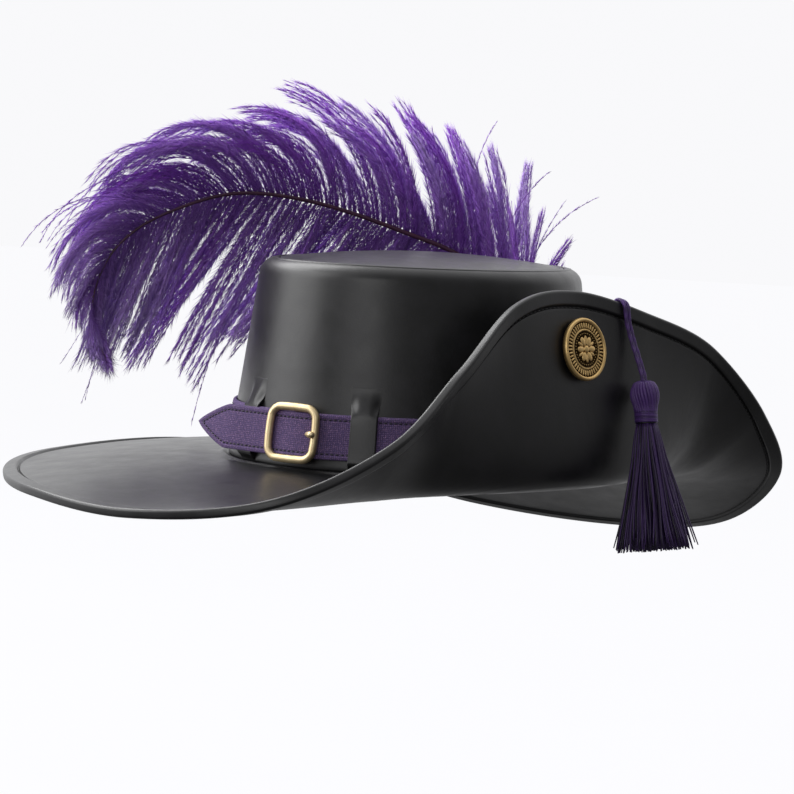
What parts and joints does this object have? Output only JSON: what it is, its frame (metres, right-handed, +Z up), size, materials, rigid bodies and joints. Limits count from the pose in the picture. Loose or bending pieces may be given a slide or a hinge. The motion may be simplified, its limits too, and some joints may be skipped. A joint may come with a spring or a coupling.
{
  "type": "cavalier hat",
  "caption": "Wide-brimmed leather hat turned up on one side, with a buckled strap, a crest-style button, a corded tassel and a sweeping ostrich plume.",
  "frame": {"origin": "centre of the head opening, in the plane where the crown stands on the brim", "axes": "+Z up along the crown, -Y towards the wearer's front, +X towards the wearer's left, where the brim is turned up"},
  "size_m": [0.3662, 0.4767, 0.2554],
  "materials": {
    "leather": "smooth black moulded leather, semi-matte",
    "strap": "woven purple strap with stitched edges",
    "brass": "satin pale brass",
    "old_brass": "antique brass, dark in its recesses",
    "cord": "dark purple twisted rayon cord and thread",
    "feather": "dyed purple ostrich feather"
  },
  "bodies": {
    "root": {"crown": "leather", "brim": "leather", "hat_strap": "strap", "keeper_front_left": "leather", "keeper_front_right": "leather", "keeper_back": "leather", "buckle_frame": "brass", "buckle_prong": "brass", "button": "old_brass", "tassel_cord_1": "cord", "tassel_cord_2": "cord", "cord_anchor": "leather", "tassel": "cord", "plume": "feather"}
  },
  "joints": []
}
